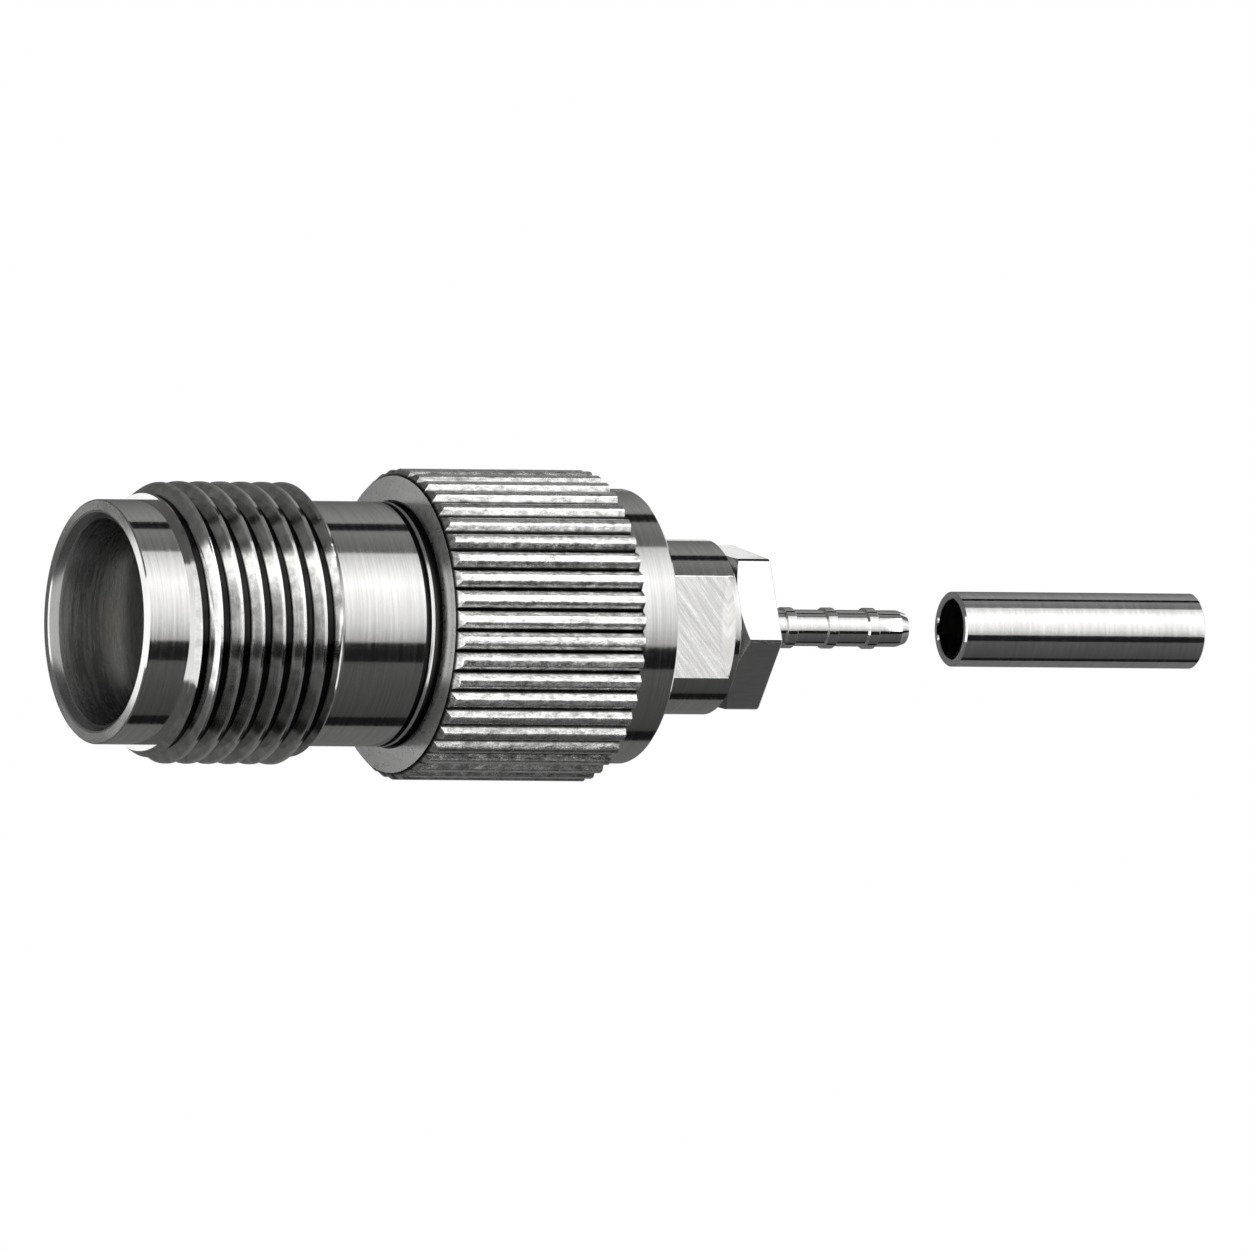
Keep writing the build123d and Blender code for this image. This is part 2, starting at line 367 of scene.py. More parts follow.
# %% [markdown]
# ## Rings round the axis
#
# A turned piece could be a curve with the Screw modifier, but here some rings aren't round: the
# neck has two flats and the nut is a hexagon. So a ring is a distance along the axis and a radius, and
# the radius may be one number or a value for each angle. Angle 0 faces the front and 90 degrees is
# up. A turner breaks every edge, because a sharp one cuts and wears, and that small slope is what
# catches the light, so each corner of an outline is cut off by a few hundredths of a millimetre.
#
# The finish goes by the surface, as each is left by another tool. A stretch of the axis and of the
# radius is enough to say which faces of a turned piece are meant.

# %% Ring helpers
merge_distance = 0.0004 * MM
sliver = 0.0002 * MM
sharp_angle = math.radians(24)


def broken(outline, width=0.03, closed=True):
    """The outline with each corner cut off, by at most a third of the edges that meet there."""
    points = [Vector(p) for p in outline]
    made = []
    for i, here in enumerate(points):
        if not closed and i in (0, len(points) - 1):
            made.append(tuple(here))
            continue
        before = points[i - 1] - here
        after = points[(i + 1) % len(points)] - here
        step = min(width, before.length / 3, after.length / 3)
        made.append(tuple(here + before.normalized() * step))
        made.append(tuple(here + after.normalized() * step))
    return made


def even_angles(count):
    """Angles in degrees, evenly spaced from 0."""
    return np.arange(count) * 360.0 / count


def ring_points(x, radius, angles, height=axis_at):
    """Points of one ring, in metres."""
    turn = np.radians(angles)
    away = np.broadcast_to(np.asarray(radius, float), turn.shape) * MM
    along = np.broadcast_to(np.asarray(x, float), turn.shape) * MM + mouth_at
    return np.stack([along, -away * np.cos(turn), height + away * np.sin(turn)], axis=1)


def new_object(name, mesh, *materials):
    """An object at the origin, in the scene, with these materials."""
    made = bpy.data.objects.new(name, mesh)
    bpy.context.scene.collection.objects.link(made)
    for material in materials:
        mesh.materials.append(material)
    return made


def turned_piece(name, rings, angles, *materials, closed=True):
    """Object through (x, radius) or (x, radius, angles) rings, last joined to first if closed."""
    count = len(angles)
    points = [ring_points(ring[0], ring[1], ring[2] if len(ring) > 2 else angles) for ring in rings]
    faces = []
    for i in range(len(rings) if closed else len(rings) - 1):
        here, there = i * count, (i + 1) % len(rings) * count
        for j in range(count):
            k = (j + 1) % count
            faces.append((here + j, here + k, there + k, there + j))
    mesh = bpy.data.meshes.new(name)
    mesh.from_pydata(np.concatenate(points).tolist(), [], faces)
    return new_object(name, mesh, *materials)


def as_plain_mesh(piece):
    """Turns what the modifiers make into the piece's own mesh."""
    graph = bpy.context.evaluated_depsgraph_get()
    mesh = bpy.data.meshes.new_from_object(piece.evaluated_get(graph), depsgraph=graph)
    piece.modifiers.clear()
    piece.data = mesh


def coat(piece, material, stretch, radii):
    """Gives this material to the faces in a stretch of the axis and of the radius, in millimetres."""
    piece.data.materials.append(material)
    slot = len(piece.data.materials) - 1
    for face in piece.data.polygons:
        x = from_mouth(face.center.x)
        radius = math.hypot(face.center.y, face.center.z - axis_at) / MM
        if stretch[0] < x < stretch[1] and radii[0] < radius < radii[1]:
            face.material_index = slot


def finish_surface(piece):
    """Merges what meets, points the faces outwards and keeps crisp edges where surfaces turn."""
    surface = bmesh.new()
    surface.from_mesh(piece.data)
    bmesh.ops.remove_doubles(surface, verts=surface.verts, dist=merge_distance)
    bmesh.ops.dissolve_degenerate(surface, edges=surface.edges, dist=sliver)
    bmesh.ops.recalc_face_normals(surface, faces=surface.faces)
    open_edges = sum(1 for e in surface.edges if len(e.link_faces) != 2)
    volume = surface.calc_volume(signed=True)
    if volume < 0:
        bmesh.ops.reverse_faces(surface, faces=surface.faces)
    surface.to_mesh(piece.data)
    surface.free()
    piece.data.shade_smooth()
    piece.data.set_sharp_from_angle(angle=sharp_angle)
    triangles = sum(len(p.vertices) - 2 for p in piece.data.polygons)
    print(piece.name, "triangles", triangles, "open edges", open_edges,
          "mm3", round(abs(volume) / MM**3, 1))


def dress(piece, node, body):
    """The finished piece stands for a CAD node and moves with its body."""
    finish_surface(piece)
    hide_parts(node)
    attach(piece, body)


# %% [markdown]
# ## The thread
#
# A screw thread follows a rule: the cutter moves along by one pitch a turn. It could be a profile
# swept along a helix, but such a sweep has loose ends and overlaps the barrel. Here Geometry Nodes
# bend a flat grid round the axis instead. Its rows follow the helix, so crests and roots stay crisp,
# and the height at each point is the lower of the thread's own shape and the blank that it was cut
# from, which is coned at both ends. The rows past each end fold down on to the barrel.


# %% Geometry Nodes tree of the thread
def group_inputs(tree, sockets):
    """Names the tree's inputs and returns their sockets inside it and their identifiers outside."""
    identifiers = {}
    tree.interface.new_socket("Geometry", in_out="OUTPUT", socket_type="NodeSocketGeometry")
    for name, kind in sockets:
        made = tree.interface.new_socket(name, in_out="INPUT", socket_type=kind)
        identifiers[name] = made.identifier
    source = tree.nodes.new("NodeGroupInput")
    return source.outputs, identifiers


thread_tree = bpy.data.node_groups.new("cut_thread", "GeometryNodeTree")
thread_lengths = ["Start", "Full From", "Full To", "End", "Pitch", "Blank Radius", "Start Radius",
                  "Major Radius", "Minor Radius", "End Radius"]
rows_a_turn = 16
spare_rows = 2
half_crest_share = 1 / 16
half_root_share = 1 / 8
thread_in, thread_keys = group_inputs(thread_tree, [
    ("Geometry", "NodeSocketGeometry"),
    *[(name, "NodeSocketFloat") for name in ["Mouth", "Axis Height"] + thread_lengths],
    ("Columns", "NodeSocketInt"),
    ("Rows", "NodeSocketInt"),
    ("Material", "NodeSocketMaterial"),
])


def lay_thread(tree, given):
    """Bends a grid into the threaded band and joins it to the turned piece that comes in."""
    grid = add_node(tree, "GeometryNodeMeshGrid", {"Size X": 1.0, "Size Y": 1.0})
    tree.links.new(sum_of(tree, "ADD", given["Columns"], 1.0), grid.inputs["Vertices X"])
    tree.links.new(given["Rows"], grid.inputs["Vertices Y"])
    place = add_node(tree, "GeometryNodeInputPosition")
    flat = add_node(tree, "ShaderNodeSeparateXYZ", {"Vector": place.outputs["Position"]})
    turn = sum_of(tree, "ADD", flat.outputs["X"], 0.5)
    last_row = sum_of(tree, "SUBTRACT", given["Rows"], 1.0)
    row = sum_of(tree, "MULTIPLY", sum_of(tree, "ADD", flat.outputs["Y"], 0.5), last_row)
    # Rows climb by a fraction of the pitch each, less a whole pitch over one turn
    climb = sum_of(tree, "DIVIDE", sum_of(tree, "SUBTRACT", row, spare_rows), rows_a_turn)
    free = sum_of(tree, "MULTIPLY", sum_of(tree, "SUBTRACT", climb, turn), given["Pitch"])
    along = sum_of(tree, "ADD", given["Start"], free)
    along = sum_of(tree, "MAXIMUM", sum_of(tree, "MINIMUM", along, given["End"]), given["Start"])
    # The V shape: crests an eighth of the pitch wide, roots a quarter
    passed = sum_of(tree, "DIVIDE", sum_of(tree, "SUBTRACT", along, given["Start"]), given["Pitch"])
    phase = sum_of(tree, "FRACT", sum_of(tree, "ADD", passed, turn))
    off_root = sum_of(tree, "ABSOLUTE", sum_of(tree, "SUBTRACT", phase, 0.5))
    flank = sum_of(tree, "DIVIDE", sum_of(tree, "SUBTRACT", off_root, half_root_share),
                   0.5 - half_crest_share - half_root_share, clamp=True)
    depth = sum_of(tree, "SUBTRACT", given["Major Radius"], given["Minor Radius"])
    cut = sum_of(tree, "MULTIPLY_ADD", flank, depth, given["Minor Radius"])
    # The blank: coned up to the full radius at the start and down again at the end
    rise = sum_of(tree, "DIVIDE", sum_of(tree, "SUBTRACT", along, given["Start"]),
                  sum_of(tree, "SUBTRACT", given["Full From"], given["Start"]))
    fall = sum_of(tree, "DIVIDE", sum_of(tree, "SUBTRACT", given["End"], along),
                  sum_of(tree, "SUBTRACT", given["End"], given["Full To"]))
    start_step = sum_of(tree, "SUBTRACT", given["Major Radius"], given["Start Radius"])
    end_step = sum_of(tree, "SUBTRACT", given["Major Radius"], given["End Radius"])
    front = sum_of(tree, "MULTIPLY_ADD", rise, start_step, given["Start Radius"])
    back = sum_of(tree, "MULTIPLY_ADD", fall, end_step, given["End Radius"])
    radius = sum_of(tree, "MINIMUM", cut, sum_of(tree, "MINIMUM", front, back))
    # The first and the last row lie on the turned blank
    inner = sum_of(tree, "MULTIPLY", sum_of(tree, "GREATER_THAN", row, 0.5),
                   sum_of(tree, "LESS_THAN", row, sum_of(tree, "SUBTRACT", last_row, 0.5)))
    above_blank = sum_of(tree, "SUBTRACT", radius, given["Blank Radius"])
    radius = sum_of(tree, "MULTIPLY_ADD", inner, above_blank, given["Blank Radius"])
    angle = sum_of(tree, "MULTIPLY", turn, math.tau)
    backwards = sum_of(tree, "MULTIPLY", radius, sum_of(tree, "COSINE", angle))
    spot = add_node(tree, "ShaderNodeCombineXYZ", {
        "X": sum_of(tree, "ADD", along, given["Mouth"]),
        "Y": sum_of(tree, "MULTIPLY", backwards, -1.0),
        "Z": sum_of(tree, "MULTIPLY_ADD", radius, sum_of(tree, "SINE", angle), given["Axis Height"])})
    bent = add_node(tree, "GeometryNodeSetPosition", {"Geometry": grid.outputs["Mesh"],
                                                      "Position": spot.outputs["Vector"]})
    joined = add_node(tree, "GeometryNodeJoinGeometry")
    tree.links.new(bent.outputs["Geometry"], joined.inputs["Geometry"])
    tree.links.new(given["Geometry"], joined.inputs["Geometry"])
    real = add_node(tree, "GeometryNodeRealizeInstances", {"Geometry": joined.outputs["Geometry"]})
    coated = add_node(tree, "GeometryNodeSetMaterial", {"Geometry": real.outputs["Geometry"],
                                                        "Material": given["Material"]})
    result = tree.nodes.new("NodeGroupOutput")
    tree.links.new(coated.outputs["Geometry"], result.inputs["Geometry"])


lay_thread(thread_tree, thread_in)


def cut_thread(piece, material, columns, lengths):
    """Adds a threaded band to an open turned piece, with thread_lengths given in millimetres."""
    given = dict(zip(thread_lengths, lengths))
    travel = given["End"] - given["Start"] + given["Pitch"]
    rows = math.ceil(travel / given["Pitch"] * rows_a_turn) + 2 * spare_rows + 1
    modifier = piece.modifiers.new("thread", "NODES")
    modifier.node_group = thread_tree
    for name, length in given.items():
        modifier[thread_keys[name]] = length * MM
    modifier[thread_keys["Mouth"]] = mouth_at
    modifier[thread_keys["Axis Height"]] = axis_at
    modifier[thread_keys["Columns"]] = columns
    modifier[thread_keys["Rows"]] = rows
    modifier[thread_keys["Material"]] = material
    as_plain_mesh(piece)


# %% [markdown]
# ## The jack shell
#
# The front part of the jack is one turned piece: a thin-walled mouth, the coupling thread, a plain
# barrel, two fine relief grooves in front of the knurl, and a shank pressed into the body. Its
# outline is drawn as an open line from the thread's start, round the mouth and through the bore to
# the thread's end, and the thread closes it. The rim falls outwards by 0.03 mm, because a rim that is
# square to the axis would mirror one spot only.

# %% The shell
shell_columns = 240
hidden_shank_x = body_face_x + hidden_shank
shell_outline = broken([
    (thread_start_x, barrel_radius),
    (rim_fall, barrel_radius),
    (0.0, bore_radius + mouth_chamfer),
    (mouth_chamfer, bore_radius),
    (reference_x, bore_radius),
    (reference_x, lip_radius),
    (lip_end_x, lip_radius),
    (lip_end_x, line_bore_radius),
    (shell_end_x, line_bore_radius),
    (shell_end_x, shank_radius),
    (hidden_shank_x, shank_radius),
], width=0.05, closed=False) + broken([
    (relief_land_end_x, shank_radius),
    (relief_land_end_x, barrel_radius),
    (relief_land_x, barrel_radius),
    (relief_land_x, shank_radius),
    (relief_groove_x, shank_radius),
    (relief_groove_x, barrel_radius),
    (thread_end_x, barrel_radius),
], width=0.012, closed=False)
shell = turned_piece("threaded_shell", shell_outline, even_angles(shell_columns), turned_nickel,
                     closed=False)
cut_thread(shell, turned_nickel, shell_columns, [
    thread_start_x,
    thread_full_from,
    thread_full_to,
    thread_end_x,
    thread_pitch,
    barrel_radius,
    thread_start_radius,
    thread_radius,
    thread_root_radius,
    thread_end_radius,
])
# The mouth's bore: rougher, and darker as painted shade
coat(shell, rough_painted_shade_nickel, (hair, reference_x + 2 * edge),
     (lip_radius, bore_radius + mouth_chamfer - hair))
# The thread gets painted shade at its roots and a painted highlight on its crests
coat(shell, thread_nickel, (thread_start_x, thread_end_x + hair),
     (thread_root_radius - hair, 2 * thread_radius))
# The relief grooves in front of the knurl get painted shade
coat(shell, painted_groove_shade, (relief_groove_x + hair, hidden_shank_x),
     (shank_radius - hair, barrel_radius - edge))
dress(shell, "jack_shell", "jack")

# %% [markdown]
# ## The knurled body
#
# The straight knurl is 45 equal teeth, pressed or cut along the axis, with sides at 45 degrees that run
# out on a cone at the front. One tooth is made as a small mesh, and Geometry Nodes repeat it round
# the axis and join it to the turned rest of the body. The tooth's edge points lie at the same
# angles as the rings of the body, so the two close without a gap. Flats are milled on the neck:
# there the radius is cut off where the ring would stand out past them. The front face falls outwards
# by 0.087 mm, which a facing tool does when it is set a little off square.

# %% One tooth of the knurl
half_pitch = 180.0 / knurl_teeth
half_crest = half_pitch - math.degrees(math.atan((crest_radius - root_radius) / crest_radius))
knurl_depth = crest_radius - root_radius
crest_fillet = 0.15
root_bend = 0.25
bend = np.radians([0.0, 15.0, 30.0, 45.0])
bend_out = crest_fillet * (np.sin(bend) - math.tan(math.pi / 8))
bend_angles = half_crest + np.degrees(bend_out / crest_radius)
flank_angles = np.array([(half_pitch + bend_angles[-1]) / 2, half_pitch - root_bend, half_pitch])
side_angles = np.concatenate([bend_angles, flank_angles])
side_radii = np.concatenate([
    crest_radius - crest_fillet * (1 - np.cos(bend)),
    root_radius + knurl_depth * (half_pitch - flank_angles) / (half_pitch - half_crest),
])
tooth_angles = np.concatenate([-side_angles[::-1], [0.0], side_angles])
tooth_outline = np.concatenate([side_radii[::-1], [crest_radius], side_radii])
groove_down = -90.0
first_tooth = groove_down + half_pitch
knurl_start_x = body_face_x + face_fall
run_in_x = knurl_start_x + (knurl_run_in - face_fall) * (tooth_outline - root_radius) / knurl_depth
tooth_rows = [
    (knurl_start_x, root_radius),
    (run_in_x, tooth_outline),
    ((body_face_x + knurl_end_x) / 2, tooth_outline),
    (knurl_end_x, tooth_outline),
    (knurl_end_x, collar_radius),
]


def tooth_mesh():
    """One tooth, from the front cone to the step at the collar, round an axis through the origin."""
    width = len(tooth_angles)
    rows = [ring_points(x, r, tooth_angles + first_tooth, 0.0) for x, r in tooth_rows]
    faces = [(i * width + j, i * width + j + 1, (i + 1) * width + j + 1, (i + 1) * width + j)
             for i in range(len(tooth_rows) - 1) for j in range(width - 1)]
    mesh = bpy.data.meshes.new("knurl_tooth")
    mesh.from_pydata(np.concatenate(rows).tolist(), [], faces)
    return mesh


tooth = new_object("knurl_tooth", tooth_mesh(), knurl_nickel)
print("one tooth has", len(tooth.data.polygons), "faces")

# %% Geometry Nodes tree of the knurl
knurl_tree = bpy.data.node_groups.new("knurl", "GeometryNodeTree")
knurl_in, knurl_keys = group_inputs(knurl_tree, [
    ("Geometry", "NodeSocketGeometry"),
    ("Tooth", "NodeSocketObject"),
    ("Teeth", "NodeSocketInt"),
    ("Axis Height", "NodeSocketFloat"),
    ("Material", "NodeSocketMaterial"),
])


def lay_knurl(tree, given):
    """Repeats the tooth round the axis and joins the teeth to the turned piece that comes in."""
    height = add_node(tree, "ShaderNodeCombineXYZ", {"Z": given["Axis Height"]})
    points = add_node(tree, "GeometryNodePoints", {"Count": given["Teeth"],
                                                   "Position": height.outputs["Vector"]})
    one = add_node(tree, "GeometryNodeObjectInfo", {"Object": given["Tooth"]})
    index = add_node(tree, "GeometryNodeInputIndex")
    step = sum_of(tree, "DIVIDE", math.tau, given["Teeth"])
    turn = sum_of(tree, "MULTIPLY", index.outputs["Index"], step)
    angle = add_node(tree, "ShaderNodeCombineXYZ", {"X": turn})
    placed = add_node(tree, "GeometryNodeInstanceOnPoints", {"Points": points.outputs["Points"],
                                                             "Instance": one.outputs["Geometry"],
                                                             "Rotation": angle.outputs["Vector"]})
    real = add_node(tree, "GeometryNodeRealizeInstances", {"Geometry": placed.outputs["Instances"]})
    coated = add_node(tree, "GeometryNodeSetMaterial", {"Geometry": real.outputs["Geometry"],
                                                        "Material": given["Material"]})
    joined = add_node(tree, "GeometryNodeJoinGeometry")
    tree.links.new(coated.outputs["Geometry"], joined.inputs["Geometry"])
    tree.links.new(given["Geometry"], joined.inputs["Geometry"])
    result = tree.nodes.new("NodeGroupOutput")
    tree.links.new(joined.outputs["Geometry"], result.inputs["Geometry"])


lay_knurl(knurl_tree, knurl_in)

# %% The turned and milled rest of the body
tooth_turns = first_tooth + 2 * half_pitch * np.arange(knurl_teeth)
body_angles = np.concatenate([tooth_angles[:-1] + turn for turn in tooth_turns])
flat_edge = math.degrees(math.acos(half_flats / neck_radius))


def flat_angles(angles):
    """The angles with the nearest one moved on to each edge of the two flats."""
    moved = angles.copy()
    for corner in (flat_edge, -flat_edge, 180 - flat_edge, 180 + flat_edge):
        away = np.abs((angles - corner + 180) % 360 - 180)
        moved[np.argmin(away)] = corner
    return moved


neck_angles = flat_angles(body_angles)


def flatted(radius):
    """Radius of a round with two flats towards the front and the back, for each angle of the neck."""
    return np.minimum(radius, half_flats / np.maximum(np.abs(np.cos(np.radians(neck_angles))), 1e-6))


body_front = broken([
    (knurl_start_x, root_radius),
    (body_face_x, shank_radius + body_bore_chamfer),
    (body_face_x + body_bore_chamfer, shank_radius),
    (shell_end_x, shank_radius),
    (shell_end_x, core_bore_radius),
    (nut_bore_x, core_bore_radius),
    (nut_bore_x, nut_bore_radius),
    (neck_end_x, nut_bore_radius),
    (neck_end_x, neck_radius - edge),
], width=0.04, closed=False)
body_rings = body_front + [
    (neck_end_x - edge, neck_radius, neck_angles),
    (rim_x + edge / 2, neck_radius, neck_angles),
    (rim_x, flatted(neck_radius), neck_angles),
    (collar_end_x, flatted(neck_radius), neck_angles),
    (collar_end_x, collar_radius - 1.5 * edge),
    (collar_end_x - edge / 2, collar_radius - edge / 2),
    (collar_end_x - 1.5 * edge, collar_radius),
    (knurl_end_x, collar_radius),
]
body = turned_piece("knurled_coupling_body", body_rings, body_angles, turned_nickel, milled_nickel,
                    closed=False)
for face in body.data.polygons:
    off_flat = abs(abs(face.center.y) - half_flats * MM)
    face.material_index = 1 if off_flat < hair * MM and abs(face.normal.y) > 0.99 else 0
knurling = body.modifiers.new("knurl", "NODES")
knurling.node_group = knurl_tree
knurling[knurl_keys["Tooth"]] = tooth
knurling[knurl_keys["Teeth"]] = knurl_teeth
knurling[knurl_keys["Axis Height"]] = axis_at
knurling[knurl_keys["Material"]] = knurl_nickel
as_plain_mesh(body)
bpy.data.objects.remove(tooth)
coat(body, face_nickel, (body_face_x - hair, knurl_start_x),
     (shank_radius + body_bore_chamfer, root_radius))
dress(body, "knurled_body", "jack")

# %% [markdown]
# ## The crimp nut
#
# The nut is turned and milled from one bar. A threaded tail goes into the neck, the hexagon takes a
# spanner, and the thin ringed stem goes under the braid of the cable. A hexagon is a ring whose
# radius grows towards its six corners. The corners of its front face are turned off at 30
# degrees, so there each point of the edge lies as far back as its radius stands out. That cone is
# rougher than the milled flats, and its darker tone is painted shade.

# %% The nut
corner_angles = 30.0 + hexagon_turn + 60.0 * np.arange(6)
corner_width = 1.2
flat_steps = np.linspace(corner_width, 60 - corner_width, 24)
nut_angles = np.unique(np.round((corner_angles[:, None] + flat_steps[None, :]).ravel() % 360, 6))
off_middle = (nut_angles - hexagon_turn + 30) % 60 - 30
hexagon_radius = hexagon_apothem / np.cos(np.radians(off_middle))
run_off_x = hexagon_x + (hexagon_radius - hexagon_face_radius) * math.tan(math.radians(30))
tail_start_x = nut_tail_x + tail_plain

stem_outline = [(hexagon_end_x, stem_radius)]
for ring in range(ring_count):
    ring_x = ring_first_x + ring * ring_pitch
    stem_outline += [
        (ring_x, stem_radius),
        (ring_x, stem_radius + ring_height),
        (ring_x + ring_width, stem_radius + ring_height),
        (ring_x + ring_width, stem_radius),
    ]
stem_outline += [
    (stem_end_x - stem_tip_length, stem_radius),
    (stem_end_x, stem_tip_radius),
    (stem_end_x, core_hole_radius),
    (pot_room_x, core_hole_radius),
    (pot_room_x, pot_room_radius),
    (nut_tail_x, pot_room_radius),
    (nut_tail_x, tail_root_radius),
]
even_nut_angles = even_angles(len(nut_angles))
nut_front = [
    (tail_thread_end_x, tail_root_radius, even_nut_angles),
    (tail_thread_end_x, tail_relief_radius, even_nut_angles),
    (hexagon_x, tail_relief_radius),
    (hexagon_x, hexagon_face_radius),
    (run_off_x, hexagon_radius),
    (hexagon_end_x - edge, hexagon_radius),
    (hexagon_end_x, hexagon_radius - edge),
]
nut_back = [(tail_start_x, tail_root_radius, even_nut_angles)]
nut_rings = nut_front + broken(stem_outline, closed=False) + nut_back
nut = turned_piece("crimp_nut_and_stem", nut_rings, nut_angles, turned_nickel, closed=False)
cut_thread(nut, turned_nickel, len(nut_angles), [
    tail_start_x,
    tail_start_x + tail_lead,
    tail_thread_end_x - tail_lead,
    tail_thread_end_x,
    tail_pitch,
    tail_root_radius,
    tail_root_radius + tail_end_step,
    tail_radius,
    tail_root_radius,
    tail_root_radius + tail_end_step,
])
coat(nut, hexagon_nickel, (hexagon_x + 2 * edge, hexagon_end_x - edge),
     (hexagon_apothem - hair, 2 * hexagon_apothem))
# The relief between the tail thread and the hexagon gets painted shade
coat(nut, painted_groove_shade, (tail_thread_end_x - hair, hexagon_x + hair), (0.0, hexagon_apothem))
# The hexagon's front cone: rougher, and darker as painted shade
coat(nut, rough_painted_shade_nickel, (hexagon_x + hair, hexagon_x + run_off_length),
     (hexagon_face_radius, 2 * hexagon_apothem))
coat(nut, ferrule_nickel, (hexagon_end_x + edge, stem_end_x), (stem_tip_radius, 2 * stem_radius))
dress(nut, "crimp_nut", "nut")

# %% [markdown]
# ## The ferrule
#
# The ferrule is a length of thin tube, cut off and lightly tumbled. Nothing repeats on it, so four
# corners and their broken edges are all it needs.

# %% The ferrule
ferrule_outline = broken([
    (ferrule_x, ferrule_bore_radius),
    (ferrule_x, ferrule_radius),
    (ferrule_end_x, ferrule_radius),
    (ferrule_end_x, ferrule_bore_radius),
], width=0.06)
ferrule = turned_piece("crimp_ferrule", ferrule_outline, even_angles(160), ferrule_nickel)
dress(ferrule, "ferrule", "ferrule")

# %% [markdown]
# ## Insulators and contact
#
# Inside the mouth a white nose holds the gold socket. Its front and back halves trap the collar
# of the contact. The socket has four slots, so that its fingers can spring on the pin: two thin
# plates that cross on the axis are cut out of it with a Boolean modifier.

# %% The insulators
bush_radius = line_bore_radius - fit_gap
collar_room_radius = 1.53
contact_collar_x = 10.0
contact_collar_end_x = 11.0
contact_collar_radius = 1.5
contact_tail_radius = 0.9
nose_outline = broken([
    (nose_x, contact_radius + fit_gap),
    (nose_x, nose_radius),
    (reference_x, nose_radius),
    (reference_x, lip_radius - fit_gap),
    (lip_end_x + fit_gap, lip_radius - fit_gap),
    (lip_end_x + fit_gap, bush_radius),
    (shell_end_x, bush_radius),
    (shell_end_x, collar_room_radius),
    (contact_collar_x, collar_room_radius),
    (contact_collar_x, contact_radius + fit_gap),
], width=0.05)
nose = turned_piece("front_bush", nose_outline, even_angles(120), turned_white)
dress(nose, "front_insulator", "jack")
rear_outline = broken([
    (contact_collar_end_x, contact_tail_radius + fit_gap),
    (contact_collar_end_x, contact_collar_radius),
    (shell_end_x, contact_collar_radius),
    (shell_end_x, core_bore_radius - fit_gap),
    (nut_bore_x, core_bore_radius - fit_gap),
    (nut_bore_x, contact_tail_radius + fit_gap),
], width=0.05)
rear = turned_piece("rear_bush", rear_outline, even_angles(96), turned_white)
dress(rear, "rear_insulator", "core")

# %% The contact
pin_bore_radius = 0.69
pin_bore_lead = 0.16
pin_bore_end_x = contact_x + 4.4
pot_radius = 0.3
pot_x = contact_end_x - 2.2
slot_width = 0.2
slot_end_x = contact_x + 3.4
plate_overhang = 1.0
pinhole_radius = 0.001
contact_outline = [(pin_bore_end_x, pinhole_radius)] + broken([
    (pin_bore_end_x, pin_bore_radius),
    (contact_x + pin_bore_lead, pin_bore_radius),
    (contact_x, pin_bore_radius + pin_bore_lead),
    (contact_x, contact_radius - pin_bore_lead / 2),
    (contact_x + pin_bore_lead, contact_radius),
    (contact_collar_x, contact_radius),
    (contact_collar_x, contact_collar_radius),
    (contact_collar_end_x, contact_collar_radius),
    (contact_collar_end_x, contact_tail_radius),
    (contact_end_x, contact_tail_radius),
    (contact_end_x, pot_radius),
    (pot_x, pot_radius),
], width=0.03, closed=False) + [(pot_x, pinhole_radius)]
contact = turned_piece("socket_contact", contact_outline, even_angles(72), contact_gold, closed=False)


def cap_ends(piece):
    """Closes the two pinholes on the axis."""
    surface = bmesh.new()
    surface.from_mesh(piece.data)
    bmesh.ops.holes_fill(surface, edges=[e for e in surface.edges if e.is_boundary], sides=0)
    bmesh.ops.recalc_face_normals(surface, faces=surface.faces)
    surface.to_mesh(piece.data)
    surface.free()


def plate(name, turn):
    """Thin plate along the axis, at this angle, long enough to cut the slots of the socket."""
    mesh = bpy.data.meshes.new(name)
    box = bmesh.new()
    bmesh.ops.create_cube(box, size=1.0)
    length = slot_end_x - contact_x + plate_overhang
    shape = Matrix.Diagonal((length * MM, 3 * contact_radius * MM, slot_width * MM, 1.0))
    middle = Matrix.Translation((mouth_at + (slot_end_x - length / 2) * MM, 0, axis_at))
    box.transform(middle @ Matrix.Rotation(math.radians(turn), 4, "X") @ shape)
    box.to_mesh(mesh)
    box.free()
    return new_object(name, mesh)


cap_ends(contact)
for turn in (45, 135):
    cutter = plate("slot_plate", turn)
    slotting = contact.modifiers.new("slot", "BOOLEAN")
    slotting.operation = "DIFFERENCE"
    slotting.solver = "EXACT"
    slotting.object = cutter
    as_plain_mesh(contact)
    bpy.data.objects.remove(cutter)
dress(contact, "center_contact", "core")

# %% [markdown]
# ## The studio
#
# Bright metal shows its surroundings and nothing else, so the light is set up as for a product
# photograph: a tent of white, grey and black cards runs along the object, all of them out of the
# picture. Each card is a strip of a large cylinder round the axis, from one angle to another, and
# its glow may change across it. The black strips draw the dark lines that give a polished
# cylinder its edges. Smooth surfaces mirror only the narrow middle of the cards, and the knurl, which
# is rougher, also gathers light from the brighter cards beside it. A card across the end of the tent
# lights the rim and the steps that face the mouth's side. The floor and the world are white, and two
# soft lamps light what isn't metal.

